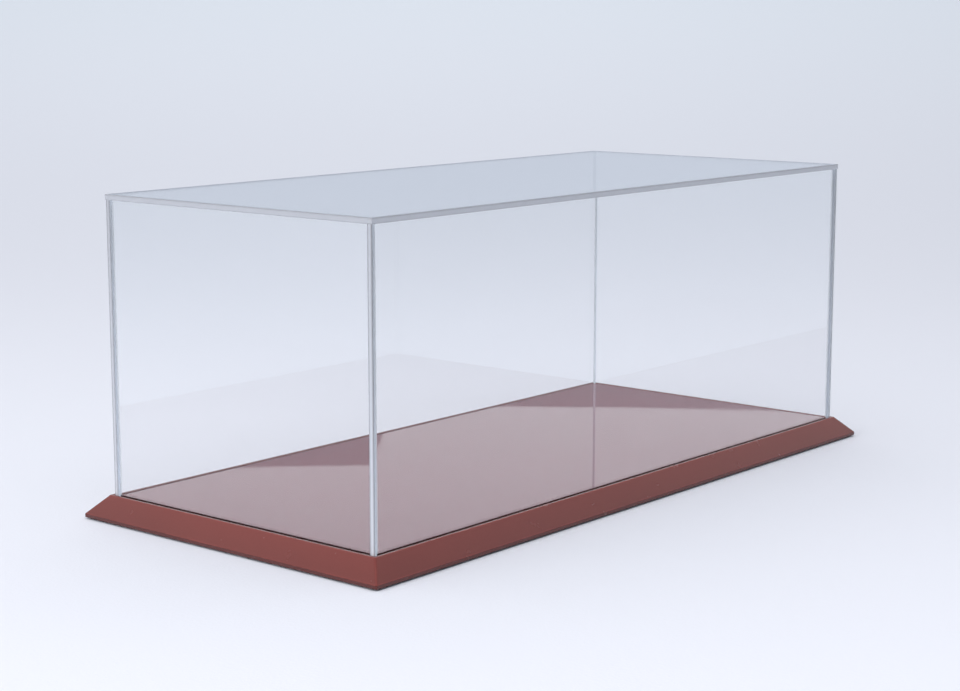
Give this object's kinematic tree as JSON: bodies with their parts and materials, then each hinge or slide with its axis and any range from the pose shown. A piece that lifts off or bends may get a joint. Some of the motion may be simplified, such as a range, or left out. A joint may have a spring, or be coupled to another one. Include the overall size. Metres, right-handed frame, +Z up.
{
  "type": "display case",
  "caption": "Long table-top display case: a clear five-sided acrylic cover that lifts off a low, bevelled, mitred wooden base with a glossy deck.",
  "frame": {"origin": "middle of the footprint, on the surface the case stands on", "axes": "+X along the length, to the right seen from the front; the front faces -Y; +Z up, the way the cover lifts off"},
  "size_m": [0.7596, 0.3596, 0.2935],
  "materials": {
    "clear_acrylic": "polished",
    "rail_lacquer": "satin",
    "deck_lacquer": "polished",
    "batten_wood": "matte",
    "key_plywood": "matte",
    "dowel_beech": "matte",
    "screw_steel": "satin",
    "pad_rubber": "matte",
    "groove_felt": "matte"
  },
  "bodies": {
    "base": {"front_rail": "rail_lacquer", "rear_rail": "rail_lacquer", "left_rail": "rail_lacquer", "right_rail": "rail_lacquer", "deck_board": "deck_lacquer", "batten_left": "batten_wood", "batten_middle": "batten_wood", "batten_right": "batten_wood", "corner_key_front_left": "key_plywood", "corner_key_front_right": "key_plywood", "corner_key_rear_left": "key_plywood", "corner_key_rear_right": "key_plywood", "batten_dowels": "dowel_beech", "rail_screws": "screw_steel", "batten_screws": "screw_steel", "foot_front_left": "pad_rubber", "foot_front_middle": "pad_rubber", "foot_front_right": "pad_rubber", "foot_rear_left": "pad_rubber", "foot_rear_middle": "pad_rubber", "foot_rear_right": "pad_rubber", "seal_front": "groove_felt", "seal_rear": "groove_felt", "seal_left": "groove_felt", "seal_right": "groove_felt"},
    "cover": {"cover_top": "clear_acrylic", "cover_front": "clear_acrylic", "cover_rear": "clear_acrylic", "cover_left": "clear_acrylic", "cover_right": "clear_acrylic"}
  },
  "joints": [
    {"name": "cover_lift", "type": "slide", "parent": "base", "child": "cover", "axis": [0, 0, 1], "range_m": [0, 0.3]}
  ]
}
